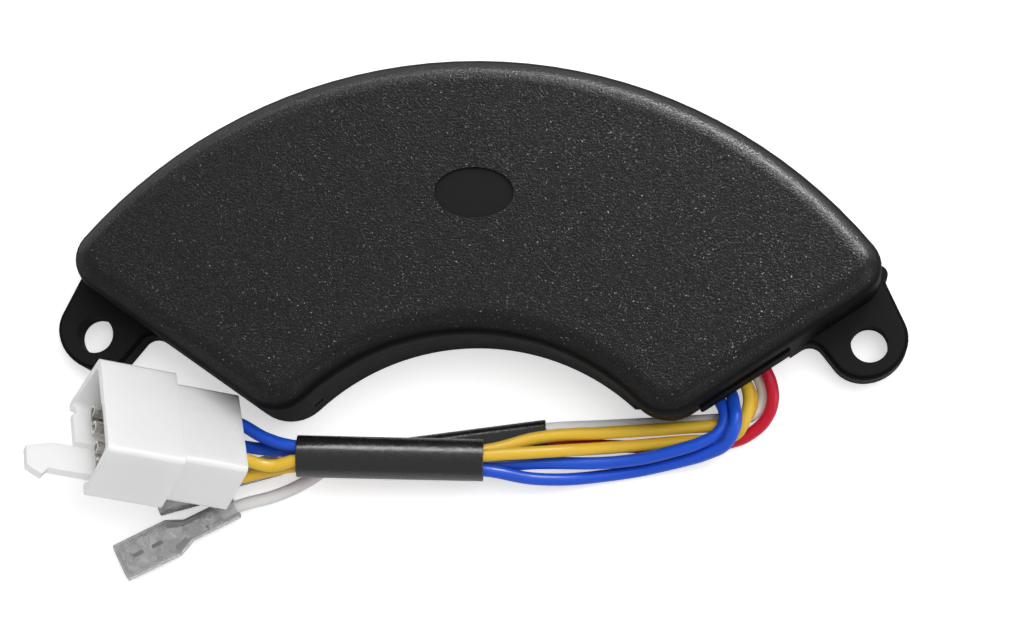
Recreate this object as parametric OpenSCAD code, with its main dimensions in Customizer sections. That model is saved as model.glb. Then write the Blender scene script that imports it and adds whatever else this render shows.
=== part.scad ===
// Automatic voltage regulator: a potted half-moon case with two mounting ears and a six-wire harness.
// The origin lies midway between the two mounting holes, on the flat back; +Y points to the outer arc.

/* [Case] */
// Radius of the outer arc at the back
arc_out_r = 77; // [74:0.5:84]
// Radius of the inner arc at the back
arc_in_r = 35.3; // [33:0.1:38]
// Distance from the arc centre to the row of mounting holes
arc_rise = 36; // [35:0.1:37.5]
// Height of the case over its back
case_h = 17.5; // [16.5:0.5:24]
// Slope of each end face from the row of holes
end_angle = 34; // [32:0.5:36]
// Set-back of each end face from the arc centre
end_set = 2.35; // [1.5:0.05:3.5]
// Plan radius of the outer corners
tip_r = 5.2; // [4.8:0.1:6]
// Plan radius of the inner corners
foot_r = 6.5; // [5.5:0.1:7.5]
// Radius of the rounded edge round the front face
edge_r = 3.7; // [2.5:0.1:4.2]
// Lean of the side walls over their height
draft = 0.25; // [0:0.05:0.5]
// Thickness of the side walls
wall = 2; // [1.6:0.1:2.4]
// Thickness of the front face
roof = 2.2; // [1.8:0.1:2.8]
// Direction of the small pocket in the inner arc
pocket_a = 132.5; // [125:0.5:134]

/* [Oval recess] */
// Length of the oval recess in the front face
oval_l = 11.8; // [8:0.1:16]
// Width of the oval recess
oval_w = 7.6; // [5:0.1:12]
// Depth of the oval recess
oval_depth = 0.6; // [0.3:0.1:1]
// Distance of the oval from the arc centre
oval_at = 56.2; // [50:0.1:62]

/* [Mounting ears] */
// Distance between the mounting holes
hole_pitch = 117; // [114:0.5:121]
// Diameter of each mounting hole
hole_d = 5.6; // [4.5:0.1:7]
// Half the width of each ear
ear_r = 6.2; // [5.8:0.1:6.8]
// Reach of each ear beyond the middle of its hole
ear_reach = 5.1; // [4.8:0.1:6]
// Thickness of each ear
ear_t = 5.5; // [3:0.1:8]
// Radius of the rounded upper edge of each ear
ear_edge_r = 0.9; // [0.3:0.1:1.2]
// Radius of the hollow corner between ear and end face
ear_fillet = 2.2; // [1:0.1:3]
// Extra width of each ear where it joins the end face
ear_flare = 0.2; // [0:0.1:1]
// Radius of the small rib that wraps each outer corner
rib_r = 1.4; // [1:0.1:2]

/* [Wire outlet] */
// Width of the slot that the wires leave through
outlet_w = 16; // [15:0.5:17]
// Distance of the slot's middle from the arc centre, along the end face
outlet_at = 50; // [49:0.5:51]
// Height of the open mouth under the outlet strip
mouth_h = 5.6; // [5.4:0.1:6.5]
// Height of the top of the slot
slot_top = 11.5; // [9:0.1:12.5]
// How far the outlet strip stands out of the end face
strip_proud = 0.3; // [0.1:0.05:0.8]
// Clearance round the outlet strip
strip_gap = 0.1; // [0.05:0.05:0.2]
// Height of the notch that lets wires pass under the inner corner
notch_h = 7.6; // [6:0.1:8.5]
// How far that notch reaches into the corner
notch_in = 2.6; // [2.5:0.05:2.8]

/* [Potting and board] */
// How far the potting lies below the rim of the back
potting_recess = 1; // [0.5:0.1:1.1]
// Bond line between the potting and what it holds
bond_gap = 0.05; // [0.03:0.01:0.1]
// Height of the board's lower face over the back
board_z = 6.2; // [5.9:0.1:6.5]
// Thickness of the circuit board
board_t = 1.6; // [1:0.1:2]
// Space between the board's edge and the side walls
board_margin = 1.2; // [0.6:0.1:2]

/* [Board parts] */
// Bridge rectifier: length, width and height
bridge_size = [18, 15, 5.4];
// Power transistor: width, body length and body height
transistor_size = [10, 9, 4.5];
// Power transistor: length and thickness of its metal tab
transistor_tab = [6.4, 1.3];
// Filter capacitor: diameter and length
capacitor_size = [6, 12];
// Film capacitors: length, width and height
film_size = [12, 5, 6];
// Power resistors: diameter and length
resistor_size = [4, 11];
// Diodes: diameter and length
diode_size = [2.6, 5];
// Control chip: length, width and height
chip_size = [9.6, 6.4, 3.4];

/* [Wires and sleeves] */
// Outer diameter of each wire
wire_d = 1.9; // [1.6:0.1:1.9]
// Outer diameter of the harness sleeve
sleeve_od = 6.3; // [6.1:0.1:7]
// Wall of the harness sleeve
sleeve_wall = 0.5; // [0.3:0.05:0.55]
// Height of the flat sleeve round the two brush leads
flat_h = 2.9; // [2.9:0.1:3]
// Wall of the flat sleeve
flat_wall = 0.38; // [0.2:0.02:0.4]

/* [Connector] */
// Shroud: length, width and height
shroud = [11.9, 18.2, 11];
// Wall of the shroud
shroud_wall = 1.1; // [0.8:0.1:1.4]
// Rear body: length, width and height
rear = [9.9, 15.4, 9.7];
// Thickness of the floor at the back of the shroud
floor_t = 2; // [1:0.1:3]
// Distance between contacts across and through the connector
contact_pitch = [7.2, 4.8];
// Latch finger: reach beyond the mouth, width and thickness
finger = [8.9, 5.2, 1.3];
// Height of the barb on the latch finger
barb_h = 1.4; // [0.8:0.1:2]
// How far the far wall of the mouth reaches beyond the near wall
lip = 1.1; // [0.5:0.1:2]
// Clearance round each contact in its pocket
contact_gap = 0.3; // [0.2:0.05:0.35]

/* [Terminals] */
// Width of a receptacle
tab_w = 5.2; // [4.8:0.1:5.4]
// Length of a receptacle
tab_l = 8; // [7:0.5:8.5]
// Outer radius of the rolled edges
roll_r = 1; // [0.9:0.05:1.05]
// Thickness of the terminal's sheet metal
sheet_t = 0.35; // [0.25:0.05:0.45]
// Length of the neck between receptacle and crimp
neck_l = 2; // [1.5:0.1:2.5]
// Length of the crimp on the strands
crimp_l = 3.4; // [3:0.1:4]
// Length of the crimp on the insulation
grip_l = 2.4; // [2:0.1:3]
// Wall of the clear cover
cover_wall = 0.3; // [0.2:0.05:0.35]
// Clearance between terminal and clear cover
cover_gap = 0.1; // [0.05:0.05:0.2]

/* [Hidden] */
$fn = 48;
past = 1;           // how far a cut runs past the face that it opens

// Colours as seen
case_black = [0.1, 0.1, 0.11];
strip_black = [0.04, 0.04, 0.04];
sleeve_black = [0.14, 0.14, 0.15];
nylon_white = [0.93, 0.93, 0.93];
tin = [0.75, 0.75, 0.73];

// Directions at the right-hand end face: along it, and out of it
along = [cos(end_angle), sin(end_angle)];
outward = [sin(end_angle), -cos(end_angle)];
centre = [0, -arc_rise];
mid_r = (arc_in_r + arc_out_r) / 2;
board_top = board_z + board_t;
half_board = (arc_out_r - arc_in_r) / 2 - wall - board_margin;

function turn(a) = [cos(a), sin(a)];
function angle_of(v) = atan2(v[1], v[0]);
function end_point(s, t) = centre + s * along + t * outward;
function arc(c, r, a0, a1, n) = [for (i = [0:n]) c + r * turn(a0 + (a1 - a0) * i / n)];
function inner_arc(c, r, a0, a1, n) = [for (i = [1:n - 1]) c + r * turn(a0 + (a1 - a0) * i / n)];
function mirrored(p) = [-p[0], p[1]];
function at_height(pts, z) = [for (p = pts) [p[0], p[1], z]];
function polar(r, a) = centre + r * turn(a);

// Centres of the corner roundings at the right-hand end
tip_t = -end_set - tip_r;
tip_s = sqrt(pow(arc_out_r - tip_r, 2) - pow(tip_t, 2));
foot_t = -end_set - foot_r;
foot_s = sqrt(pow(arc_in_r + foot_r, 2) - pow(foot_t, 2));
tip_c = end_point(tip_s, tip_t);
foot_c = end_point(foot_s, foot_t);
tip_a = angle_of(tip_c - centre);
foot_a = angle_of(foot_c - centre);

// Half-moon outline, set in from the outer skin by d, counter-clockwise from the right-hand foot.
// Its outer and inner halves have the same number of points, so that a cap can pair them.
corner_n = 9;
arc_n = 36;
function outline(d) = concat(
    arc(foot_c, foot_r - d, foot_a + 180, end_angle + 270, corner_n),
    arc(tip_c, tip_r - d, end_angle - 90, tip_a, corner_n),
    inner_arc(centre, arc_out_r - d, tip_a, 180 - tip_a, arc_n),
    arc(mirrored(tip_c), tip_r - d, 180 - tip_a, 270 - end_angle, corner_n),
    arc(mirrored(foot_c), foot_r - d, 270 - end_angle, 360 - foot_a, corner_n),
    inner_arc(centre, arc_in_r + d, 180 - foot_a, foot_a, arc_n)
);
function outline_cap() = let (first = corner_n + 1, half = 2 * corner_n + arc_n + 1, n = 2 * half) [
    for (k = [0:half - 2]) let (a = first + k, b = (first - 1 - k + n) % n, c = (b - 1 + n) % n)
        each [[a, a + 1, c], [a, c, b]]
];

// Heights and insets of a wall with a rounded top edge
function rounded_levels(h, lean, r, n) = concat(
    [[0, 0], [h - r, lean]],
    [for (i = [1:n]) [h - r + r * sin(90 * i / n), lean + r * (1 - cos(90 * i / n))]]
);

// Outline of the right-hand ear, set in by d, along and out of the end face
hole_s = [hole_pitch / 2, arc_rise] * along;
hole_t = [hole_pitch / 2, arc_rise] * outward;
ear_root = [hole_s - ear_r - ear_flare - ear_fillet, ear_fillet - end_set];
ear_lap = 0.3;      // how far the ear's outer edge runs inside the corner of the case
ear_back = 0.4;     // how far the middle of the ear's round end lies behind the hole
ear_to_tip = [tip_s - hole_s, tip_t - hole_t];
ear_a = angle_of(ear_to_tip) + acos((ear_r - tip_r + ear_lap) / norm(ear_to_tip));
function ear_outline(d) = concat(
    [[tip_s, tip_t], [ear_root[0], tip_t]],
    arc(ear_root, ear_fillet + d, -90, 0, 6),
    [for (i = [0:20]) let (v = turn(180 + (ear_a - 180) * i / 20))
        [hole_s + (ear_r - d) * v[0], hole_t - ear_back + (ear_reach + ear_back - d) * v[1]]],
    [[tip_s, tip_t] + (tip_r - ear_lap - d) * turn(ear_a)]
);
function ear_ring(z, d) = at_height([for (p = ear_outline(d)) end_point(p[0], p[1])], z);
function flipped(ring) = [for (i = [len(ring) - 1:-1:0]) [-ring[i][0], ring[i][1], ring[i][2]]];

// Where each wire leaves the end face: place along it, height, and length of wire inside
wire_r = wire_d / 2;
low_row = 2.2;
high_row = 4.3;
short_lead = 9.6;
long_lead = 12.6;
outlets = [
    [outlet_at - 4.6, high_row, short_lead], [outlet_at - 2.6, high_row, short_lead],
    [outlet_at, high_row, short_lead], [outlet_at + 0.2, low_row, long_lead],
    [outlet_at + 3.6, high_row, short_lead], [outlet_at + 2.3, low_row, long_lead],
];
lead_gap = 0.1;     // clearance round a wire in the potting
joint_r = 0.8;      // radius of a soldered joint
joint_back = 1;     // distance of a joint from the inner end of its wire
function lead(o) = [for (d = [o[2], 0]) concat(end_point(o[0], -end_set - d), o[1])];

// Place of the connector: its middle, its turn, and points given in its own frame
plug_pos = [-45.2, -16.6, 12.2];
plug_turn = [40, -30, 173];
function about_x(p, a) = [p[0], p[1] * cos(a) - p[2] * sin(a), p[1] * sin(a) + p[2] * cos(a)];
function about_y(p, a) = [p[0] * cos(a) + p[2] * sin(a), p[1], p[2] * cos(a) - p[0] * sin(a)];
function about_z(p, a) = [p[0] * cos(a) - p[1] * sin(a), p[0] * sin(a) + p[1] * cos(a), p[2]];
function plug_point(p) =
    plug_pos + about_z(about_y(about_x(p, plug_turn[0]), plug_turn[1]), plug_turn[2]);
rear_shift = [0.6, 0.45];       // offset of the rear body from the shroud's middle
contact_shift = [0.1, 0.35];    // offset of the contacts from the shroud's middle
rear_wall = 1.8;                // thickness of the back wall that the wires pass
contact_at = -5.4;              // where each contact starts
function place(k) =
    contact_shift + [(k < 2 ? -1 : 1) * contact_pitch[0], (k % 2 == 0 ? 1 : -1) * contact_pitch[1]] / 2;
function plug_lead(k) = [
    for (x = [-rear[0], contact_at + bite]) plug_point(concat(x, place(k)))
];

// Terminals lie along x, with the wire on the axis: clearance round it and length of it inside
grip_gap = 0.1;
grip_r = wire_r + grip_gap + sheet_t;
strand_r = 1.15;
bite = 2;
grip_space = 0.4;               // space between the two crimps
strip_z = -1.2;                 // height of the carrying strip's underside
strip_w = 1.4;
crimp_x = grip_l + grip_space;
neck_x = crimp_x + crimp_l;
tab_x = neck_x + neck_l;
roll_c = tab_w / 2 - roll_r;

// Spade terminals on the table: place, turn, and height of the axis over the table
red_spade = [-32.5, -19.6];
red_yaw = 196;
white_spade = [-38.7, -26.7];
white_yaw = 207;
cover_lead = 2.5;               // how far the clear cover reaches back over the wire
cover_past = 0.7;               // how far it reaches past the terminal's tip
cover_r = grip_r + cover_gap + cover_wall;
table_gap = 0.05;
spade_z = cover_r + table_gap;
function spade_lead(at, yaw) = [for (x = [-cover_lead, 0, bite]) concat(at + x * turn(yaw), spade_z)];

// Flat sleeve on the table, and the place of each lead at its two ends
flat_ends = [[10.45, -14.05], [-15, -17.75]];
flat_r = flat_h / 2;
flat_pitch = 2.1;
flat_yaw = angle_of(flat_ends[1] - flat_ends[0]);
flat_run = norm(flat_ends[1] - flat_ends[0]);
function flat_lead(side) = [
    for (p = flat_ends) concat(p + side * flat_pitch / 2 * turn(flat_yaw + 90), flat_r)
];

// Straight harness sleeve, from its end near the case to its end near the connector
harness_ends = [[1.3, -18.3, 5.9], [-26.5, -18.3, 7.8]];

// Routes of the six wires, from the board to their far ends
blue_1_route = concat(lead(outlets[0]), [
    [37.1, -10.5, 4.8], [37, -12.3, 5.1], [36, -13.8, 5.2], [34.5, -14.7, 5.1], [30.5, -16.1, 4.7],
    [22, -17.9, 3.4], [9.5, -18.4, 3.8], [1.3, -18.8, 4.4], [-8, -17.3, 5.3], [-17.2, -16.7, 7.4],
    [-26.5, -16.9, 8.6], [-31, -15.8, 7.9],
], plug_lead(0));
blue_2_route = concat(lead(outlets[1]), [
    [38.5, -9.5, 5.7], [38.8, -11.9, 7.1], [38.3, -13.8, 6.7], [37.2, -15.4, 5.5], [34.9, -16.5, 4.2],
    [30.5, -17.7, 2.3], [20, -19.8, 1.2], [9.5, -20.8, 3.8], [1.3, -19.8, 6.4], [-8, -19.5, 5.5],
    [-17.2, -18, 5.6], [-26.5, -17.5, 6.4], [-33, -16.9, 4.3],
], plug_lead(1));
yellow_1_route = concat(lead(outlets[2]), [
    [40.7, -8, 4.6], [40.6, -9.9, 5], [40, -11.8, 5], [38.9, -13.5, 4.1], [37, -14.2, 3.3],
    [30.5, -14.8, 3], [20, -15.9, 3.6], [9.5, -17, 6.3], [1.3, -17.8, 7.4], [-8, -19.3, 7.8],
    [-17.2, -19.9, 6.9], [-26.5, -19.7, 7], [-31, -20.5, 6.6],
], plug_lead(3));
yellow_2_route = concat(lead(outlets[3]), [
    [41.1, -8, 2.5], [40.9, -9.8, 2.9], [39.9, -11.2, 3], [38.4, -11.8, 3], [30.5, -12.8, 3.8],
    [20, -13.7, 4.2], [9.5, -14.6, 4.3], [1.3, -16.8, 5.4], [-8, -17.1, 7.6], [-17.2, -18.6, 8.7],
    [-26.5, -19.1, 9.2], [-30.3, -19.9, 9.1],
], plug_lead(2));
red_route = concat(lead(outlets[4]), [
    [44, -6.2, 4.2], [44.2, -8.6, 3.4], [43.3, -11, 2.1], [41.3, -13, 1.2], [38.5, -14.4, 1],
    [31, -15.3, 1], [20, -15.4, 1],
], flat_lead(1), [[-20, -19.4, 3], [-25.5, -18.8, 3]], spade_lead(red_spade, red_yaw));
white_route = concat(lead(outlets[5]), [
    [42.8, -6.9, 1.5], [42.5, -8.7, 1], [41.4, -10.2, 1], [39.8, -10.9, 1], [36, -11.2, 1],
    [28, -11.8, 1], [19, -12.4, 1],
], flat_lead(-1), [[-20.5, -17.7, 1], [-25.5, -21.2, 1], [-30, -23.5, 1.1]],
    spade_lead(white_spade, white_yaw));

// Solid through a row of rings that all have the same number of points; cap lists the end's triangles
function fan(n, hub) = [for (j = [1:n - 2]) [hub, (hub + j) % n, (hub + j + 1) % n]];
module loft(rings, cap) {
    n = len(rings[0]);
    last = (len(rings) - 1) * n;
    polyhedron(
        points = [for (ring = rings) each ring],
        faces = concat(
            cap,
            [for (c = cap) [last + c[2], last + c[1], last + c[0]]],
            [for (a = [0:n:last - n]) for (j = [0:n - 1]) let (b = a + n, k = (j + 1) % n)
                each [[a + j, b + j, b + k], [a + j, b + k, a + k]]]
        )
    );
}

// Wire swept along its route
wire_sides = 8;
function unit(v) = v / norm(v);
function leg(route, i) = unit(route[i + 1] - route[i]);
function heading(route, i) =
    i == 0 ? leg(route, 0) :
    i == len(route) - 1 ? leg(route, i - 1) : unit(leg(route, i - 1) + leg(route, i));
function ring_round(p, t) = let (u = unit(cross([0, 0, 1], t)), v = cross(t, u))
    [for (k = [0:wire_sides - 1]) let (a = 360 * k / wire_sides) p + wire_r * (cos(a) * u + sin(a) * v)];
module wire(route)
    loft([for (i = [0:len(route) - 1]) ring_round(route[i], heading(route, i))], fan(wire_sides, 0));

// Flat shapes
function rounded(size, r) = let (x = size[0] / 2 - r, y = size[1] / 2 - r) concat(
    arc([x, -y], r, -90, 0, 4), arc([x, y], r, 0, 90, 4),
    arc([-x, y], r, 90, 180, 4), arc([-x, -y], r, 180, 270, 4)
);
function stadium(run, r) = concat(arc([run / 2, 0], r, -90, 90, 12), arc([-run / 2, 0], r, 90, 270, 12));
function ellipse(l, w) = [for (a = [0:7.5:352.5]) [l / 2 * cos(a), w / 2 * sin(a)]];

// Frames: on the right-hand end face with y pointing inward; on the board, at a share of its half width
// from the middle line; and along x
module at_end(s, z) {
    p = end_point(s, -end_set);
    translate([p[0], p[1], z]) rotate(end_angle) children();
}
module on_board(share, a) {
    p = polar(mid_r + share * half_board, a);
    translate([p[0], p[1], board_top]) rotate(a - 90) children();
}
module along_x(x0, x1) translate([x0, 0, 0]) rotate([90, 0, 90]) linear_extrude(x1 - x0) children();
module along_y(y0, y1) translate([0, y0, 0])
    rotate([-90, 0, 0]) cylinder(r = wire_r + lead_gap, h = y1 - y0);

// Case
module ears() {
    rings = [for (l = rounded_levels(ear_t, 0, ear_edge_r, 4)) ear_ring(l[0], l[1])];
    n = len(rings[0]);
    loft(rings, fan(n, 0));
    loft([for (r = rings) flipped(r)], fan(n, n - 1));
    rib = tip_c + (tip_r - rib_r / 3) * turn(3);
    for (p = [rib, mirrored(rib)]) translate(p) cylinder(r = rib_r, h = ear_t);
}
module corner_notch() translate([foot_c[0] - foot_r, foot_c[1] - foot_r - past, -past])
    cube([2 * foot_r, past + notch_in, past + notch_h]);
wall_pocket = [0.8, 1.6, 1.4];      // depth, width and height of the pocket in the inner arc
wall_pocket_z = 4.2;
module case() color(case_black) difference() {
    union() {
        loft([for (l = rounded_levels(case_h, draft, edge_r, 6)) at_height(outline(l[1]), l[0])],
            outline_cap());
        ears();
    }
    translate([0, 0, -past]) linear_extrude(past + case_h - roof) polygon(outline(wall));
    for (x = [-1, 1] * hole_pitch / 2) translate([x, 0, -past]) cylinder(d = hole_d, h = case_h);
    translate([0, oval_at - arc_rise, case_h - oval_depth])
        linear_extrude(past) polygon(ellipse(oval_l, oval_w));
    at_end(outlet_at, -past) translate([-outlet_w / 2, -past, 0])
        cube([outlet_w, wall + 2 * past, past + slot_top]);
    corner_notch();
    translate(concat(polar(arc_in_r, pocket_a), wall_pocket_z)) rotate(pocket_a)
        translate([-past, -wall_pocket[1] / 2, 0]) cube(wall_pocket + [past, 0, 0]);
}
strip_corner = 0.6;
module wire_outlet_strip() color(strip_black)
    at_end(outlet_at, (mouth_h + slot_top - strip_gap) / 2)
        translate([0, wall, 0]) rotate([90, 0, 0]) linear_extrude(wall + strip_proud)
            polygon(rounded([outlet_w - 2 * strip_gap, slot_top - strip_gap - mouth_h], strip_corner));

// Potting and board; g is the bond line left round a part
module leads(g) for (o = outlets) {
    at_end(o[0], o[1]) along_y(-past, o[2] + g);
    at_end(o[0], o[1]) translate([0, o[2] - joint_back, 0]) cylinder(r = joint_r + g, h = board_z - o[1]);
}
module board_blank(g) translate([0, 0, board_z - g])
    linear_extrude(board_t + 2 * g) polygon(outline(wall + board_margin - g));
module potting_compound() color([0.2, 0.17, 0.13]) difference() {
    translate([0, 0, potting_recess])
        linear_extrude(case_h - roof - bond_gap - potting_recess) polygon(outline(wall + bond_gap));
    corner_notch();
    board_blank(bond_gap);
    leads(bond_gap);
    bridge_body(bond_gap);
    transistor_body(bond_gap);
    capacitor_body(bond_gap);
    film_bodies(bond_gap);
    resistor_bodies(bond_gap);
    diode_bodies(bond_gap);
    chip_body(bond_gap);
}
module circuit_board() color([0.1, 0.35, 0.15]) board_blank(0);
module solder_joints() color(tin) for (o = outlets) difference() {
    at_end(o[0], o[1]) translate([0, o[2] - joint_back, 0]) cylinder(r = joint_r, h = board_z - o[1]);
    at_end(o[0], o[1]) along_y(-past, o[2] + past);
}

// Parts on the board
module block(size, g) translate([-size[0] / 2 - g, -size[1] / 2 - g, 0])
    cube([size[0] + 2 * g, size[1] + 2 * g, size[2] + g]);
module lying(size, g) translate([-size[1] / 2 - g, 0, size[0] / 2])
    rotate([0, 90, 0]) cylinder(d = size[0] + 2 * g, h = size[1] + 2 * g);
module bridge_body(g) on_board(0.34, 125) block(bridge_size, g);
module transistor_body(g) on_board(0.2, 104) {
    block(transistor_size, g);
    translate([0, transistor_size[1] / 2 - past + transistor_tab[0] / 2, 0])
        block([transistor_size[0], transistor_tab[0], transistor_tab[1]], g);
}
module capacitor_body(g) on_board(0.51, 84) lying(capacitor_size, g);
module film_bodies(g) for (share = [0.34, 0.737]) on_board(share, 66) block(film_size, g);
module resistor_bodies(g) for (share = [-0.68, -0.37, -0.057])
    on_board(share, 90) lying(resistor_size, g);
module diode_bodies(g) for (a = [106, 110.5, 115, 119.5])
    on_board(-0.567, a) rotate(90) lying(diode_size, g);
module chip_body(g) on_board(-0.453, 68) block(chip_size, g);
module bridge_rectifier() color([0.12, 0.12, 0.13]) bridge_body(0);
module power_transistor() color([0.15, 0.15, 0.16]) transistor_body(0);
module filter_capacitor() color([0.15, 0.2, 0.45]) capacitor_body(0);
module film_capacitors() color([0.7, 0.25, 0.15]) film_bodies(0);
module power_resistors() color([0.75, 0.65, 0.5]) resistor_bodies(0);
module signal_diodes() color([0.16, 0.16, 0.16]) diode_bodies(0);
module control_chip() color([0.1, 0.1, 0.1]) chip_body(0);

// Wires
wire_blue = [0.1, 0.3, 0.8];
wire_yellow = [0.95, 0.78, 0.2];
module blue_wire_1() color(wire_blue) wire(blue_1_route);
module blue_wire_2() color(wire_blue) wire(blue_2_route);
module yellow_wire_1() color(wire_yellow) wire(yellow_1_route);
module yellow_wire_2() color(wire_yellow) wire(yellow_2_route);
module red_wire() color([0.75, 0.1, 0.18]) wire(red_route);
module white_wire() color([0.86, 0.86, 0.87]) wire(white_route);

// Sleeves
module harness_sleeve() color(sleeve_black) {
    run = harness_ends[1] - harness_ends[0];
    translate(harness_ends[0]) rotate([0, acos(run[2] / norm(run)), angle_of(run)]) difference() {
        cylinder(d = sleeve_od, h = norm(run));
        translate([0, 0, -past]) cylinder(d = sleeve_od - 2 * sleeve_wall, h = norm(run) + 2 * past);
    }
}
module brush_lead_sleeve() color(sleeve_black)
    translate(concat(flat_ends[0], flat_r)) rotate(flat_yaw) along_x(0, flat_run) difference() {
        polygon(stadium(flat_pitch, flat_r));
        polygon(stadium(flat_pitch, flat_r - flat_wall));
    }

// Terminal: crimps on insulation and strands, neck, and receptacle with two rolled edges
function rolled_profile() = let (c = [roll_c, 0], ri = roll_r - sheet_t) concat(
    arc(c, roll_r, -90, 200, 10), arc(c, ri, 200, -90, 10),
    arc(-c, ri, 270, -20, 10), arc(-c, roll_r, -20, 270, 10)
);
tab_slot = [1.8, 0.6];          // length and width of the two slots in the receptacle's plate
module terminal() color(tin) difference() {
    union() {
        rotate([0, 90, 0]) cylinder(r = grip_r, h = grip_l);
        translate([crimp_x, 0, 0]) rotate([0, 90, 0]) cylinder(r = strand_r, h = crimp_l);
        translate([grip_l / 2, -strip_w / 2, strip_z]) cube([neck_x - grip_l / 2, strip_w, sheet_t]);
        translate([0, 0, -roll_r]) linear_extrude(sheet_t) polygon([
            [neck_x - grip_space, -strip_w / 2], [tab_x + grip_space, -roll_c],
            [tab_x + grip_space, roll_c], [neck_x - grip_space, strip_w / 2],
        ]);
        along_x(tab_x, tab_x + tab_l) polygon(rolled_profile());
    }
    translate([-past, 0, 0]) rotate([0, 90, 0])
        cylinder(r = wire_r + grip_gap, h = past + grip_l + grip_space / 2);
    for (share = [0.3, 0.7]) translate([tab_x + share * tab_l, 0, -roll_r - past])
        linear_extrude(2 * past) square(tab_slot, center = true);
}

// Clear cover round a terminal: narrow on the wire, flat on the receptacle
function cover_ring(x, run, r) = [for (p = stadium(run, r)) concat(x, p)];
round_run = 0.01;               // straight run of a ring that is all but round
wide_x = tab_x - cover_gap;
slope_l = 2.6;
module cover_form(wall_in, past_ends) {
    r = cover_r - wall_in;
    flat = roll_r + cover_gap + cover_wall - wall_in;
    loft([
        cover_ring(-cover_lead - past_ends, round_run, r), cover_ring(wide_x - slope_l, round_run, r),
        cover_ring(wide_x, 2 * roll_c, flat),
        cover_ring(tab_x + tab_l + cover_past + past_ends, 2 * roll_c, flat),
    ], fan(len(stadium(0, 1)), 0));
}
module cover() color([0.9, 0.9, 0.92, 0.35]) difference() {
    cover_form(0, 0);
    cover_form(cover_wall, past);
}
module on_table(at, yaw) translate(concat(at, spade_z)) rotate([180, 0, yaw]) children();
module red_spade_terminal() on_table(red_spade, red_yaw) terminal();
module white_spade_terminal() on_table(white_spade, white_yaw) terminal();
module red_spade_cover() on_table(red_spade, red_yaw) cover();
module white_spade_cover() on_table(white_spade, white_yaw) cover();

// Connector
shroud_corner = 0.8;
slot_w = 1.2;           // gap on each side of the latch finger
slot_l = 7;             // length of those gaps behind the mouth
notch = [0.6, 1.2];     // depth and width of the small notch in the rim of the mouth
notch_y = -7;
finger_y = 3.2;         // middle of the finger across the shroud
finger_in = 0.1;        // how far the finger lies inside the far wall's outer face
finger_taper = [4.3, 1.4];      // length and depth of the slope at its tip
barb_l = [2.2, 3.2];    // where the barb is highest and where it ends, back from the tip
pocket = [tab_w + 2 * contact_gap, 2 * (grip_r + contact_gap)];
module in_plug() translate(plug_pos) rotate(plug_turn) children();
module latch() {
    root = shroud[0] - slot_l - past;
    tip = shroud[0] + finger[0];
    side = finger_y - finger[1] / 2;
    edge = finger_y + finger[1] / 2;
    translate([0, 0, finger_in - shroud[2] / 2]) linear_extrude(finger[2]) polygon([
        [root, side], [tip - finger_taper[0], side], [tip, side + finger_taper[1]], [tip, edge],
        [tip - barb_l[0], edge + barb_h], [tip - barb_l[1], edge], [root, edge],
    ]);
}
// What is trimmed off the mouth, so that only one side of its far wall reaches out
module mouth_trim() {
    split = finger_y - finger[1] / 2 - slot_w;
    rim = shroud[0] + lip;
    top = shroud[2] / 2;
    translate([shroud[0], split, -top - past]) cube([lip + past, shroud[1], shroud[2] + 2 * past]);
    translate([0, split, 0]) rotate([90, 0, 0]) linear_extrude(shroud[1]) polygon([
        [shroud[0], top], [rim, -top], [rim + past, -top],
        [rim + past, top + past], [shroud[0], top + past],
    ]);
}
module plug_housing() color(nylon_white) in_plug() {
    difference() {
        union() {
            along_x(0, shroud[0] + lip) polygon(rounded([shroud[1], shroud[2]], shroud_corner));
            translate(concat(0, rear_shift))
                along_x(-rear[0], past) polygon(rounded([rear[1], rear[2]], shroud_corner));
        }
        along_x(floor_t, shroud[0] + lip + past)
            polygon(rounded([shroud[1] - 2 * shroud_wall, shroud[2] - 2 * shroud_wall], shroud_corner));
        for (k = [0:3]) translate(concat(0, place(k))) {
            along_x(rear_wall - rear[0], floor_t + past) square(pocket, center = true);
            along_x(-rear[0] - past, rear_wall - rear[0] + past) circle(r = grip_r - sheet_t + grip_gap);
        }
        mouth_trim();
        for (y = [-1, 1] * (finger[1] + slot_w) / 2)
            translate([shroud[0] - slot_l, finger_y + y - slot_w / 2, -shroud[2] / 2 - past])
                cube([slot_l + lip + past, slot_w, shroud_wall + 2 * past]);
        translate([shroud[0] + lip - notch[0], notch_y - notch[1] / 2, -shroud[2] / 2 - past])
            cube([notch[0] + past, notch[1], shroud_wall + 2 * past]);
    }
    latch();
}
module contact(k) in_plug() translate(concat(contact_at, place(k))) terminal();
module plug_contact_1() contact(0);
module plug_contact_2() contact(1);
module plug_contact_3() contact(2);
module plug_contact_4() contact(3);

case();
wire_outlet_strip();
potting_compound();
circuit_board();
bridge_rectifier();
power_transistor();
filter_capacitor();
film_capacitors();
power_resistors();
signal_diodes();
control_chip();
solder_joints();
blue_wire_1();
blue_wire_2();
yellow_wire_1();
yellow_wire_2();
red_wire();
white_wire();
harness_sleeve();
brush_lead_sleeve();
plug_housing();
plug_contact_1();
plug_contact_2();
plug_contact_3();
plug_contact_4();
red_spade_terminal();
white_spade_terminal();
red_spade_cover();
white_spade_cover();
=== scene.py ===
# %% [markdown]
# # A half-moon voltage regulator with its harness
# The regulator of a small generator is a curved plastic case, filled with resin, that is screwed
# to the end cover by two ears. Six wires leave it at one end. Four of them go to a nylon connector
# and two end in spade terminals under clear covers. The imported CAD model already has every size,
# so this lesson only dresses it: each piece sits where its solid is, and gets its finish.

import math

import bmesh
import bpy
from mathutils import Matrix, Vector


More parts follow.
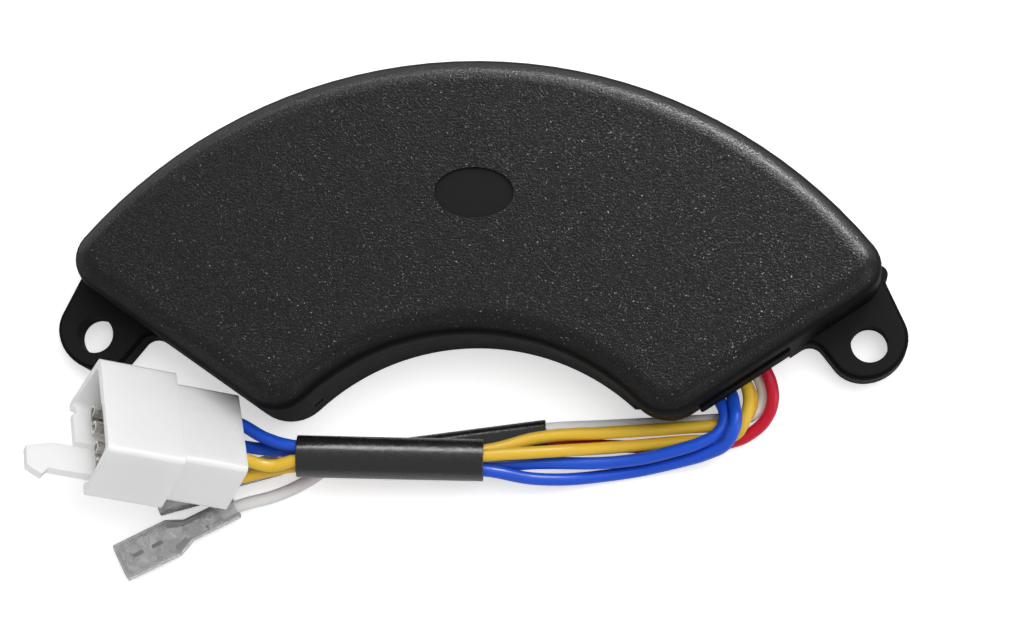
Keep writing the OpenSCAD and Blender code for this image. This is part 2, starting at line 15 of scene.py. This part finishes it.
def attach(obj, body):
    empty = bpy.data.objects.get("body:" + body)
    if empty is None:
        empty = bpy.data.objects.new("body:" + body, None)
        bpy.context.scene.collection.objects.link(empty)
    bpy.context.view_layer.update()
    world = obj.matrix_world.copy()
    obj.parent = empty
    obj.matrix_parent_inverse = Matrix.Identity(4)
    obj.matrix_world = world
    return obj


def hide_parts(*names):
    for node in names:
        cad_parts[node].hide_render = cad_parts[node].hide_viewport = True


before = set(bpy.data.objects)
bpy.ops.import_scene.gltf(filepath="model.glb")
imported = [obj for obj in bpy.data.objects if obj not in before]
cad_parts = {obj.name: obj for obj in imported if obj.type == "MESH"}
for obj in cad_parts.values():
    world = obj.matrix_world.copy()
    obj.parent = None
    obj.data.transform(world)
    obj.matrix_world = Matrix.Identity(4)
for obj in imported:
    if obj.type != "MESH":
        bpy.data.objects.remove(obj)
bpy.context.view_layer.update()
MM = 0.001
print("nodes in the frame:", len(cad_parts))

# %% [markdown]
# ## Camera
# The photograph was taken from almost straight above, with a long lens and a little to the front
# right. The camera could be aimed with a Track To constraint, but three measured directions give
# its turn at once: what is right, what is up, and what points back at the photographer.

# %% Camera
CAMERA_AT = Vector((44.2, -60.9, 457.1)) * MM
CAMERA_RIGHT = Vector((0.9963, 0.0233, -0.0831)).normalized()
CAMERA_BACK = Vector((0.0855, -0.139, 0.9866)).normalized()
LENS = 107.1
SENSOR_WIDTH = 36

camera_data = bpy.data.cameras.new("studio_camera")
camera_data.lens = LENS
camera_data.sensor_width = SENSOR_WIDTH
camera_data.clip_start = 0.01
camera = bpy.data.objects.new("studio_camera", camera_data)
bpy.context.collection.objects.link(camera)
camera_up = CAMERA_BACK.cross(CAMERA_RIGHT)
turn = Matrix((CAMERA_RIGHT, camera_up, CAMERA_BACK)).transposed()
camera.matrix_world = Matrix.Translation(CAMERA_AT) @ turn.to_4x4()
bpy.context.scene.camera = camera
print("camera looks down at", round(math.degrees(math.asin(CAMERA_BACK.z)), 1), "degrees")

# %% [markdown]
# ## The six wires
# Each wire is a limp, stranded lead of 1.9 mm. It could be a mesh tube, but a Bezier curve with a
# round bevel stays smooth between a few points and can be bent again later. The points are the
# ones that the CAD solids follow, so every curve lies inside the same clear space. Blender takes
# the radius of the points for the box round a curve, so the wire's radius is set there and the
# bevel is left at 1.

# %% Wires
WIRE_D = 1.9
ROUTES = {
    "blue_wire_1": [
        (30.96, -0.71, 4.3), (36.32, -8.66, 4.3), (37.1, -10.5, 4.8), (37, -12.3, 5.1),
        (36, -13.8, 5.2), (34.5, -14.7, 5.1), (30.5, -16.1, 4.7), (22, -17.9, 3.4),
        (9.5, -18.4, 3.8), (1.3, -18.8, 4.4), (-8, -17.3, 5.3), (-17.2, -16.7, 7.4),
        (-26.5, -16.9, 8.6), (-31, -15.8, 7.9), (-36.22, -13.22, 7.13), (-41.81, -12.53, 10.38),
    ],
    "blue_wire_2": [
        (32.61, 0.41, 4.3), (37.98, -7.55, 4.3), (38.5, -9.5, 5.7), (38.8, -11.9, 7.1),
        (38.3, -13.8, 6.7), (37.2, -15.4, 5.5), (34.9, -16.5, 4.2), (30.5, -17.7, 2.3),
        (20, -19.8, 1.2), (9.5, -20.8, 3.8), (1.3, -19.8, 6.4), (-8, -19.5, 5.5),
        (-17.2, -18, 5.6), (-26.5, -17.5, 6.4), (-33, -16.9, 4.3), (-38.42, -16.06, 3.94),
        (-44.01, -15.37, 7.19),
    ],
    "yellow_wire_1": [
        (34.77, 1.87, 4.3), (40.14, -6.09, 4.3), (40.7, -8, 4.6), (40.6, -9.9, 5), (40, -11.8, 5),
        (38.9, -13.5, 4.1), (37, -14.2, 3.3), (30.5, -14.8, 3), (20, -15.9, 3.6), (9.5, -17, 6.3),
        (1.3, -17.8, 7.4), (-8, -19.3, 7.8), (-17.2, -19.9, 6.9), (-26.5, -19.7, 7),
        (-31, -20.5, 6.6), (-36.8, -21.82, 7.95), (-42.38, -21.13, 11.2),
    ],
    "yellow_wire_2": [
        (33.26, 4.47, 2.2), (40.3, -5.98, 2.2), (41.1, -8, 2.5), (40.9, -9.8, 2.9),
        (39.9, -11.2, 3), (38.4, -11.8, 3), (30.5, -12.8, 3.8), (20, -13.7, 4.2),
        (9.5, -14.6, 4.3), (1.3, -16.8, 5.4), (-8, -17.1, 7.6), (-17.2, -18.6, 8.7),
        (-26.5, -19.1, 9.2), (-30.3, -19.9, 9.1), (-34.59, -18.98, 11.13), (-40.18, -18.29, 14.38),
    ],
    "red_wire": [
        (37.75, 3.88, 4.3), (43.12, -4.08, 4.3), (44, -6.2, 4.2), (44.2, -8.6, 3.4),
        (43.3, -11, 2.1), (41.3, -13, 1.2), (38.5, -14.4, 1), (31, -15.3, 1), (20, -15.4, 1),
        (10.6, -15.09, 1.45), (-14.85, -18.79, 1.45), (-20, -19.4, 3), (-25.5, -18.8, 3),
        (-30.1, -18.91, 1.85), (-32.5, -19.6, 1.85), (-34.42, -20.15, 1.85),
    ],
    "white_wire": [
        (35, 5.64, 2.2), (42.04, -4.81, 2.2), (42.8, -6.9, 1.5), (42.5, -8.7, 1), (41.4, -10.2, 1),
        (39.8, -10.9, 1), (36, -11.2, 1), (28, -11.8, 1), (19, -12.4, 1), (10.3, -13.01, 1.45),
        (-15.15, -16.71, 1.45), (-20.5, -17.7, 1), (-25.5, -21.2, 1), (-30, -23.5, 1.1),
        (-36.47, -25.57, 1.85), (-38.7, -26.7, 1.85), (-40.48, -27.61, 1.85),
    ],
}


def lead(node):
    """A wire as a Bezier curve with a round section."""
    curve = bpy.data.curves.new(node + "_lead", "CURVE")
    curve.dimensions = "3D"
    curve.bevel_depth = 1
    curve.bevel_resolution = 5
    curve.resolution_u = 8
    curve.use_fill_caps = True
    spline = curve.splines.new("BEZIER")
    spline.bezier_points.add(len(ROUTES[node]) - 1)
    for point, place in zip(spline.bezier_points, ROUTES[node]):
        point.co = Vector(place) * MM
        point.radius = WIRE_D / 2 * MM
        point.handle_left_type = point.handle_right_type = "AUTO"
    piece = bpy.data.objects.new(node + "_lead", curve)
    bpy.context.collection.objects.link(piece)
    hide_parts(node)
    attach(piece, "root")
    return piece


def run_of(node):
    """Length of a wire in metres, along its points."""
    places = [Vector(p) * MM for p in ROUTES[node]]
    return sum((b - a).length for a, b in zip(places, places[1:]))


leads = {node: lead(node) for node in ROUTES}
for node in ROUTES:
    print(node, round(run_of(node) * 1000, 1), "mm")

# %% [markdown]
# ## Finishes
# Every finish starts from one Principled shader. A small helper makes it, and adds fine noise to
# its roughness, because no real surface is equally smooth all over. A second helper adds a bump.

# %% Finish helpers
WANDER_SCALE, WANDER_DETAIL = 900, 4
RELIEF_DETAIL = 3


def finish(name, color, roughness, spread=0.08, **sockets):
    """A Principled material whose roughness wanders a little round its value."""
    material = bpy.data.materials.new(name)
    material.use_nodes = True
    tree = material.node_tree
    shader = tree.nodes["Principled BSDF"]
    shader.inputs["Base Color"].default_value = (*color, 1)
    for socket, value in sockets.items():
        shader.inputs[socket.replace("_", " ")].default_value = value
    where = tree.nodes.new("ShaderNodeTexCoord")
    noise = tree.nodes.new("ShaderNodeTexNoise")
    noise.inputs["Scale"].default_value = WANDER_SCALE
    noise.inputs["Detail"].default_value = WANDER_DETAIL
    span = tree.nodes.new("ShaderNodeMapRange")
    span.inputs["To Min"].default_value = max(roughness - spread, 0.02)
    span.inputs["To Max"].default_value = min(roughness + spread, 1)
    tree.links.new(where.outputs["Object"], noise.inputs["Vector"])
    tree.links.new(noise.outputs["Fac"], span.inputs["Value"])
    tree.links.new(span.outputs["Result"], shader.inputs["Roughness"])
    return material


def bumped(material, grain, depth):
    """Adds fine relief to a finish; depth is in metres."""
    tree = material.node_tree
    where = tree.nodes.new("ShaderNodeTexCoord")
    noise = tree.nodes.new("ShaderNodeTexNoise")
    noise.inputs["Scale"].default_value = grain
    noise.inputs["Detail"].default_value = RELIEF_DETAIL
    bump = tree.nodes.new("ShaderNodeBump")
    bump.inputs["Distance"].default_value = depth
    bump.inputs["Strength"].default_value = 1
    tree.links.new(where.outputs["Object"], noise.inputs["Vector"])
    tree.links.new(noise.outputs["Fac"], bump.inputs["Height"])
    tree.links.new(bump.outputs["Normal"], tree.nodes["Principled BSDF"].inputs["Normal"])
    return material


SOFT = {"Specular_IOR_Level": 0.35}
WIRE_RELIEF = (700, 2e-5)
finishes = {
    "wire_blue": bumped(finish("wire_blue", (0.014, 0.092, 0.66), 0.34, **SOFT), *WIRE_RELIEF),
    "wire_yellow": bumped(finish("wire_yellow", (0.82, 0.52, 0.04), 0.36, **SOFT), *WIRE_RELIEF),
    "wire_red": bumped(finish("wire_red", (0.6, 0.008, 0.035), 0.34, **SOFT), *WIRE_RELIEF),
    "wire_white": bumped(finish("wire_white", (0.84, 0.84, 0.84), 0.4, **SOFT), *WIRE_RELIEF),
}
WIRE_FINISH = {
    "blue_wire_1": "wire_blue", "blue_wire_2": "wire_blue",
    "yellow_wire_1": "wire_yellow", "yellow_wire_2": "wire_yellow",
    "red_wire": "wire_red", "white_wire": "wire_white",
}
for node, piece in leads.items():
    piece.data.materials.append(finishes[WIRE_FINISH[node]])
print("finishes so far:", sorted(finishes))

# %% [markdown]
# ## Pieces from solids
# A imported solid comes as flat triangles. For a close view it needs eased edges and soft shading,
# and its own mesh may not be changed. So a helper copies the solid, welds it, joins the flat
# triangles into whole faces, eases the sharp edges with a Bevel modifier and keeps flat faces flat
# with weighted normals. Building every form again by hand would give the same shape with more
# work.

# %% Helper for eased copies


def eased(node, edge_mm, segments=3, sharp=32.0):
    """A copy of a node's solid with eased edges, standing for the node."""
    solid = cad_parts[node]
    mesh = solid.data.copy()
    mesh.name = node + "_piece"
    mesh.materials.clear()
    work = bmesh.new()
    work.from_mesh(mesh)
    bmesh.ops.remove_doubles(work, verts=work.verts, dist=2e-6)
    bmesh.ops.dissolve_limit(
        work, angle_limit=math.radians(0.3), verts=work.verts, edges=work.edges
    )
    work.to_mesh(mesh)
    work.free()
    mesh.polygons.foreach_set("use_smooth", [True] * len(mesh.polygons))
    mesh.set_sharp_from_angle(angle=math.radians(sharp))
    piece = bpy.data.objects.new(node + "_piece", mesh)
    piece.matrix_world = solid.matrix_world.copy()
    bpy.context.collection.objects.link(piece)
    if edge_mm:
        bevel = piece.modifiers.new("eased edges", "BEVEL")
        bevel.width = edge_mm * MM
        bevel.segments = segments
        bevel.limit_method = "ANGLE"
        bevel.angle_limit = math.radians(sharp)
    flat = piece.modifiers.new("flat faces", "WEIGHTED_NORMAL")
    flat.keep_sharp = True
    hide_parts(node)
    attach(piece, "root")
    print(node, "piece has", len(mesh.polygons), "faces")
    return piece


def dress(piece, slot):
    """Gives a piece its finish."""
    piece.data.materials.append(finishes[slot])


# %% [markdown]
# ## Case
# The case is moulded in black plastic. Its front face and fillets are spark-eroded, so they are
# covered with fine grains that glint one by one, while the walls, the ears and the oval recess are
# plain and dull. The glints are also painted into the colour as light specks, more of them on the
# right, where the light comes from, and the up faces of the ears and of the recess's floor are
# painted lighter than the walls. One material can do all of it: it looks at which way the surface
# points and how high it is, and lets the grain in where it belongs.

# %% Case finish and piece
SMOOTH_BLACK = (0.0055, 0.0055, 0.0056)
# Painted light: the recess's up-facing floor is lighter than the walls of the same plain plastic.
RECESS_FLOOR_PAINTED_LIGHT = (0.017, 0.017, 0.0173)
# Painted light: the up faces of the ears are lighter than the walls of the same plain plastic.
EAR_TOP_PAINTED_LIGHT = (0.0145, 0.0145, 0.0147)
GRAIN_DARK = (0.0035, 0.0035, 0.0035)
GRAIN_LIGHT = (0.016, 0.016, 0.016)
# A painted highlight: light specks mixed into the colour where the grain glints.
PAINTED_GLINT = (0.8, 0.8, 0.81)
# Heights over the back in metres, just under the front and the recess's floor, at the foot of the
# fillet and just over the ears
FRONT_Z, RECESS_Z, FILLET_Z, EAR_Z = 0.0172, 0.0164, 0.0135, 0.0065
FACES_UP = 0.93
PLAIN_ROUGH, GRAIN_ROUGH = 0.4, 0.17
PLAIN_SHINE, GRAIN_SHINE, OUTER_SHINE = 0.03, 0.26, 0.6
GRAIN_DEPTH = 0.00012


def sum_up(tree, operation, first, second):
    """A Math node fed by two outputs or numbers; returns its output."""
    node = tree.nodes.new("ShaderNodeMath")
    node.operation = operation
    for socket, value in zip(node.inputs, (first, second)):
        if isinstance(value, (int, float)):
            socket.default_value = value
        else:
            tree.links.new(value, socket)
    return node.outputs["Value"]


def ramp(tree, value, low, high, to_low=0.0, to_high=1.0):
    """A Map Range node; returns its output."""
    node = tree.nodes.new("ShaderNodeMapRange")
    for name, number in (
        ("From Min", low), ("From Max", high), ("To Min", to_low), ("To Max", to_high)
    ):
        node.inputs[name].default_value = number
    tree.links.new(value, node.inputs["Value"])
    return node.outputs["Result"]


def blend(tree, factor, first, second):
    """Mixes two colours, each a tuple or an output; returns the output."""
    node = tree.nodes.new("ShaderNodeMix")
    node.data_type = "RGBA"
    tree.links.new(factor, node.inputs["Factor"])
    for name, value in (("A", first), ("B", second)):
        socket = next(i for i in node.inputs if i.name == name and i.type == "RGBA")
        if isinstance(value, tuple):
            socket.default_value = (*value, 1)
        else:
            tree.links.new(value, socket)
    return next(o for o in node.outputs if o.type == "RGBA")


def spark_finish():
    """Black plastic: grained, with painted glints, on the front; plain elsewhere, painted lighter
    on ear tops and recess.
    """
    material = finish("case_plastic", SMOOTH_BLACK, 0.1, 0.05)
    tree = material.node_tree
    new, link = tree.nodes.new, tree.links.new
    shader = tree.nodes["Principled BSDF"]
    where = new("ShaderNodeTexCoord").outputs["Object"]
    normal, place = new("ShaderNodeSeparateXYZ"), new("ShaderNodeSeparateXYZ")
    link(new("ShaderNodeNewGeometry").outputs["Normal"], normal.inputs["Vector"])
    link(where, place.inputs["Vector"])
    front = sum_up(tree, "GREATER_THAN", place.outputs["Z"], FRONT_Z)
    fillet = sum_up(
        tree, "MULTIPLY",
        sum_up(tree, "MULTIPLY", ramp(tree, normal.outputs["Z"], 0.5, 0.85),
               ramp(tree, normal.outputs["Z"], 0.99, 0.9)),
        sum_up(tree, "GREATER_THAN", place.outputs["Z"], FILLET_Z),
    )
    grained = sum_up(tree, "MAXIMUM", front, fillet)

    # Painted light on the recess's floor: its up faces get a lighter black than the walls.
    recess = sum_up(
        tree, "MULTIPLY",
        sum_up(tree, "GREATER_THAN", place.outputs["Z"], RECESS_Z),
        sum_up(tree, "GREATER_THAN", normal.outputs["Z"], FACES_UP),
    )
    recess = sum_up(tree, "MULTIPLY", recess, sum_up(tree, "SUBTRACT", 1, front))
    # Painted light on the ear tops: up faces low on the case get a lighter black than the walls.
    ears = sum_up(
        tree, "MULTIPLY",
        sum_up(tree, "LESS_THAN", place.outputs["Z"], EAR_Z),
        sum_up(tree, "GREATER_THAN", normal.outputs["Z"], FACES_UP),
    )

    def noise(scale, detail):
        node = new("ShaderNodeTexNoise")
        node.inputs["Scale"].default_value = scale
        node.inputs["Detail"].default_value = detail
        link(where, node.inputs["Vector"])
        return node.outputs["Fac"]

    wander = shader.inputs["Roughness"].links[0].from_socket
    rough = ramp(tree, grained, 0, 1, PLAIN_ROUGH, GRAIN_ROUGH)
    link(sum_up(tree, "ADD", wander, rough), shader.inputs["Roughness"])
    outward = ramp(tree, normal.outputs["Y"], -0.1, 0.25, 0, OUTER_SHINE)
    outer = sum_up(tree, "MULTIPLY", fillet, outward)
    shine = sum_up(tree, "MAXIMUM", ramp(tree, grained, 0, 1, PLAIN_SHINE, GRAIN_SHINE), outer)
    link(shine, shader.inputs["Specular IOR Level"])

    fine, coarse = noise(3800, 1.5), noise(3900, 2)
    bump = new("ShaderNodeBump")
    bump.inputs["Distance"].default_value = GRAIN_DEPTH
    link(sum_up(tree, "MULTIPLY", coarse, grained), bump.inputs["Height"])
    link(bump.outputs["Normal"], shader.inputs["Normal"])

    base = blend(tree, ramp(tree, coarse, 0.3, 0.7), GRAIN_DARK, GRAIN_LIGHT)
    base = blend(tree, grained, SMOOTH_BLACK, base)
    base = blend(tree, recess, base, RECESS_FLOOR_PAINTED_LIGHT)
    base = blend(tree, ears, base, EAR_TOP_PAINTED_LIGHT)
    # Painted glints: light specks in the grain's colour, in patches, denser towards the right,
    # where the light comes from.
    patches = ramp(tree, noise(160, 3), 0.35, 0.65, 0.4, 1.0)
    side = ramp(tree, place.outputs["X"], -0.06, 0.06, 0.35, 1.0)
    glint = sum_up(tree, "MULTIPLY", ramp(tree, fine, 0.69, 0.79), grained)
    glint = sum_up(tree, "MULTIPLY", glint, sum_up(tree, "MULTIPLY", patches, side))
    link(blend(tree, glint, base, PAINTED_GLINT), shader.inputs["Base Color"])
    return material


finishes["case_plastic"] = spark_finish()
case = eased("case", 0, sharp=28)
dress(case, "case_plastic")

# %% [markdown]
# ## Outlet strip
# A strip closes the slot above the wires. Its almost black, dull finish is painted shade: it
# stands for the deep shade in the slot over the wires.

# %% Outlet strip
# Painted shade: the strip's almost black colour stands for the shade in the slot above the wires.
finishes["strip_plastic"] = bumped(
    finish("strip_plastic", (0.002, 0.002, 0.002), 0.8, Specular_IOR_Level=0.12), 800, 4e-5
)
strip = eased("wire_outlet_strip", 0.25)
dress(strip, "strip_plastic")

# %% [markdown]
# ## Sleeves
# A round sleeve of black vinyl holds the four connector wires together, and a flat one holds the
# two brush leads. Vinyl has a soft sheen along its length and slight waves where the wires press.

# %% Sleeves
finishes["sleeve_pvc"] = bumped(
    finish("sleeve_pvc", (0.011, 0.011, 0.0114), 0.27, 0.1, Specular_IOR_Level=0.7), 260, 1.2e-4
)
harness_sleeve = eased("harness_sleeve", 0.12, sharp=40)
dress(harness_sleeve, "sleeve_pvc")
flat_sleeve = eased("brush_lead_sleeve", 0.1, sharp=40)
dress(flat_sleeve, "sleeve_pvc")

# %% [markdown]
# ## Connector
# The housing is moulded in white nylon, which lets a little light through, so its shadows are
# soft. Subsurface scattering gives that. Its contacts are tinned brass, with bright and dull
# patches painted into the colour as reflections of the crumpled metal.

# %% Connector
# Painted reflections: the tin's colour is mixed from a bright and a dull tone in patches.
TIN_PAINTED_BRIGHT = (0.93, 0.91, 0.87)
TIN_PAINTED_DULL = (0.6, 0.58, 0.54)
TIN_PAINTED_PATCHES = 480


def tin_finish():
    """Tinned brass with painted reflections: bright and dull patches in its colour."""
    material = bumped(finish("tinned_brass", TIN_PAINTED_BRIGHT, 0.28, 0.12, Metallic=0.75), 700, 4e-5)
    tree = material.node_tree
    patches = tree.nodes.new("ShaderNodeTexNoise")
    patches.inputs["Scale"].default_value = TIN_PAINTED_PATCHES
    where = tree.nodes.new("ShaderNodeTexCoord").outputs["Object"]
    tree.links.new(where, patches.inputs["Vector"])
    # Painted reflections: bright and dull tin tones laid out in patches.
    color = blend(tree, ramp(tree, patches.outputs["Fac"], 0.42, 0.6), TIN_PAINTED_DULL, TIN_PAINTED_BRIGHT)
    tree.links.new(color, tree.nodes["Principled BSDF"].inputs["Base Color"])
    return material


finishes["nylon_white"] = bumped(
    finish(
        "nylon_white", (0.93, 0.93, 0.935), 0.42,
        Subsurface_Weight=0.4, Subsurface_Scale=0.003, Subsurface_Radius=(1, 1, 1),
    ),
    420, 5e-5,
)
finishes["tinned_brass"] = tin_finish()
housing = eased("plug_housing", 0.3, sharp=35)
dress(housing, "nylon_white")
for number in range(1, 5):
    contact = eased(f"plug_contact_{number}", 0.04, 2, sharp=40)
    dress(contact, "tinned_brass")

# %% [markdown]
# ## Spade terminals
# Each brush lead ends in a tinned receptacle with two rolled edges, under a clear vinyl cover. The
# cover is a real hollow solid, so light bends in its two skins as it does in the real one.

# %% Spade terminals
finishes["clear_pvc"] = finish(
    "clear_pvc", (0.85, 0.85, 0.87), 0.07, 0.05, Transmission_Weight=0.9, IOR=1.42
)
spades, covers = {}, {}
for colour in ("red", "white"):
    spades[colour] = eased(f"{colour}_spade_terminal", 0.04, 2, sharp=40)
    dress(spades[colour], "tinned_brass")
    covers[colour] = eased(f"{colour}_spade_cover", 0.08, 2, sharp=40)
    dress(covers[colour], "clear_pvc")

# %% [markdown]
# ## Parts in the resin
# The back of the case is closed with dark casting resin, and the board with its parts is inside.
# No one sees those parts, but each gets its own finish, so the model can be taken apart later.

# %% Inner parts
finishes["potting_resin"] = bumped(finish("potting_resin", (0.06, 0.045, 0.03), 0.5), 300, 6e-5)
finishes["board_laminate"] = bumped(finish("board_laminate", (0.03, 0.12, 0.04), 0.4), 900, 2e-5)
finishes["moulded_black"] = bumped(finish("moulded_black", (0.02, 0.02, 0.021), 0.55), 1500, 4e-5)
finishes["capacitor_sleeve"] = bumped(
    finish("capacitor_sleeve", (0.02, 0.035, 0.16), 0.25), 500, 1e-5
)
finishes["film_resin"] = bumped(finish("film_resin", (0.42, 0.06, 0.03), 0.2), 400, 3e-5)
finishes["resistor_ceramic"] = bumped(
    finish("resistor_ceramic", (0.5, 0.4, 0.26), 0.7), 1200, 4e-5
)
finishes["solder"] = bumped(finish("solder", (0.55, 0.55, 0.54), 0.3, Metallic=1.0), 900, 4e-5)
INNER = {
    "potting_compound": "potting_resin", "circuit_board": "board_laminate",
    "bridge_rectifier": "moulded_black", "power_transistor": "moulded_black",
    "filter_capacitor": "capacitor_sleeve", "film_capacitors": "film_resin",
    "power_resistors": "resistor_ceramic", "signal_diodes": "moulded_black",
    "control_chip": "moulded_black", "solder_joints": "solder",
}
for node, slot in INNER.items():
    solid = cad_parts[node]
    solid.data.materials.clear()
    solid.data.materials.append(finishes[slot])
print("inner parts dressed:", len(INNER))

# %% [markdown]
# ## Cords
# It prints how many wire curves there are.

# %% Cords
print("cords declared:", len(leads))

# %% [markdown]
# ## Floor and light
# A pale floor catches a soft shadow. A broad lamp above lights everything evenly, but it must not
# be mirrored in the flat front, so glossy rays do not see it. A rim lamp behind on the right and
# two weak ones, straight behind and low at the side, do the opposite: they only make highlights,
# along the fillet, the end face, the sleeve and the wires, and so they throw no shadow over the
# connector. The even world light keeps the black case readable. The floor gives off a little light
# to the camera only, so that it is white without brighter lamps.

# %% Floor
FLOOR_HALF = 3.0
FLOOR_Z = -0.0001
FLOOR_TONE = 0.85
FLOOR_LIFT = 0.5
floor_mesh = bpy.data.meshes.new("studio_floor")
floor_mesh.from_pydata(
    [(x * FLOOR_HALF, y * FLOOR_HALF, FLOOR_Z) for x, y in ((-1, -1), (1, -1), (1, 1), (-1, 1))],
    [], [(0, 1, 2, 3)],
)
floor = bpy.data.objects.new("studio_floor", floor_mesh)
bpy.context.collection.objects.link(floor)
floor_white = bpy.data.materials.new("floor_white")
floor_white.use_nodes = True
tree = floor_white.node_tree
tree.nodes.clear()
paper = tree.nodes.new("ShaderNodeBsdfDiffuse")
paper.inputs["Color"].default_value = (FLOOR_TONE, FLOOR_TONE, FLOOR_TONE, 1)
glow = tree.nodes.new("ShaderNodeEmission")
rays = tree.nodes.new("ShaderNodeLightPath")
lift = tree.nodes.new("ShaderNodeMath")
lift.operation = "MULTIPLY"
lift.inputs[1].default_value = FLOOR_LIFT
both = tree.nodes.new("ShaderNodeAddShader")
out = tree.nodes.new("ShaderNodeOutputMaterial")
tree.links.new(rays.outputs["Is Camera Ray"], lift.inputs[0])
tree.links.new(lift.outputs["Value"], glow.inputs["Strength"])
tree.links.new(paper.outputs["BSDF"], both.inputs[0])
tree.links.new(glow.outputs["Emission"], both.inputs[1])
tree.links.new(both.outputs["Shader"], out.inputs["Surface"])
floor_mesh.materials.append(floor_white)
print("floor is", 2 * FLOOR_HALF, "m across")

# %% Lamps and world
AIM = (0, 0, 0.01)
WORLD_LIGHT = 0.45


def softbox(name, place, target, size, power, lights=True, shines=True):
    """A square area lamp that looks at a point; it lights surfaces, shines in them, or both."""
    lamp = bpy.data.lights.new(name, "AREA")
    lamp.size = size
    lamp.energy = power
    box = bpy.data.objects.new(name, lamp)
    box.location = place
    box.visible_diffuse = lights
    box.visible_glossy = shines
    box.rotation_euler = (Vector(target) - Vector(place)).to_track_quat("-Z", "Y").to_euler()
    bpy.context.collection.objects.link(box)


softbox("rim_softbox", (0.38, 0.62, 0.55), AIM, 0.22, 10.5, lights=False)
softbox("back_softbox", (-0.1, 0.7, 0.6), AIM, 0.3, 2.8, lights=False)
softbox("side_softbox", (0.8, -0.35, 0.35), AIM, 0.4, 1.6, lights=False)
softbox("top_softbox", (0.3, 0.3, 1), (0, 0, 0), 0.8, 8.4, shines=False)
world = bpy.data.worlds.new("studio_world")
bpy.context.scene.world = world
world.use_nodes = True
world.node_tree.nodes["Background"].inputs["Color"].default_value = (1, 1, 1, 1)
world.node_tree.nodes["Background"].inputs["Strength"].default_value = WORLD_LIGHT
bpy.context.scene.view_settings.view_transform = "Standard"
